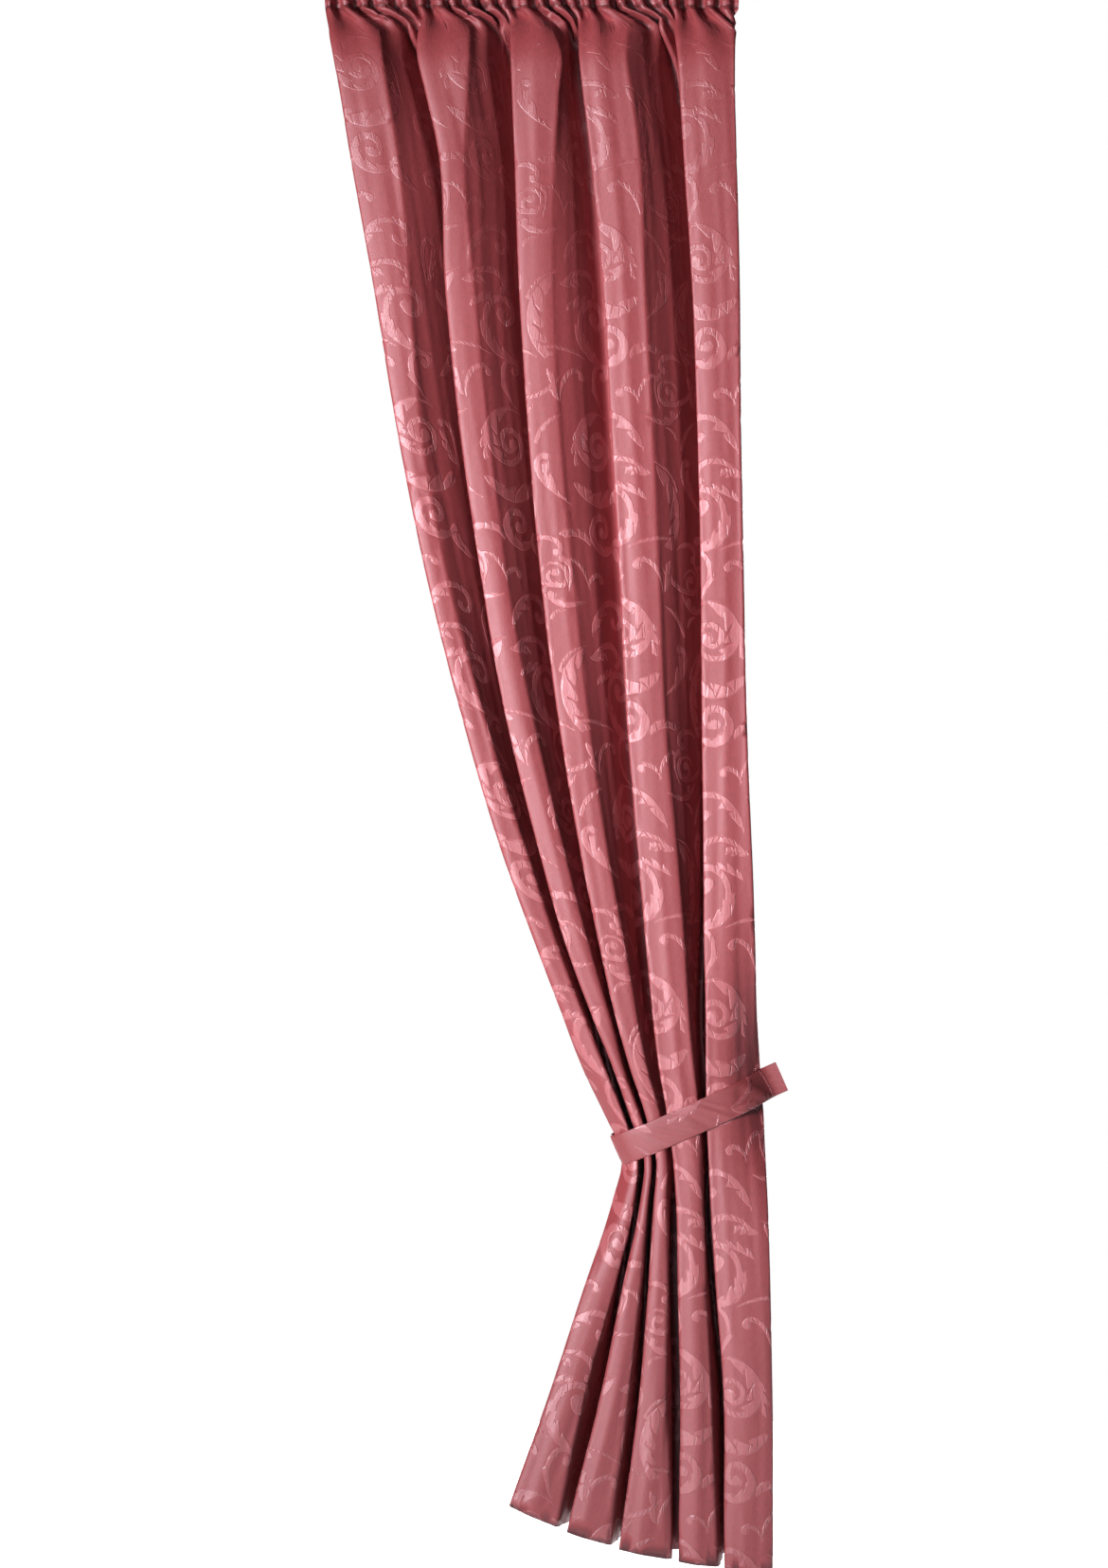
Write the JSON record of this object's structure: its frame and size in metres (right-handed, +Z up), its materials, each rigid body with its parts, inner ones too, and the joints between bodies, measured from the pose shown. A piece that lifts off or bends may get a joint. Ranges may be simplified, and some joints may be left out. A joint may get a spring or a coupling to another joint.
{
  "type": "curtain with tie-back",
  "caption": "Floor-length jacquard curtain with a gathered heading, hanging in deep soft folds and drawn to one side by a fabric tie-back band.",
  "frame": {"origin": "middle of the curtain's top edge, where its heading hangs from a rail or rod", "axes": "+Z up along the hang, the curtain's face to -Y, and +X to the right as it is looked at"},
  "size_m": [0.7163, 0.1088, 2.4501],
  "materials": {
    "jacquard": "dusty rose woven damask with a soft satin sheen",
    "jacquard_band": "the same woven cloth, cut as a flat band"
  },
  "bodies": {
    "root": {"curtain_panel": "jacquard", "tie_back": "jacquard_band"}
  },
  "joints": []
}
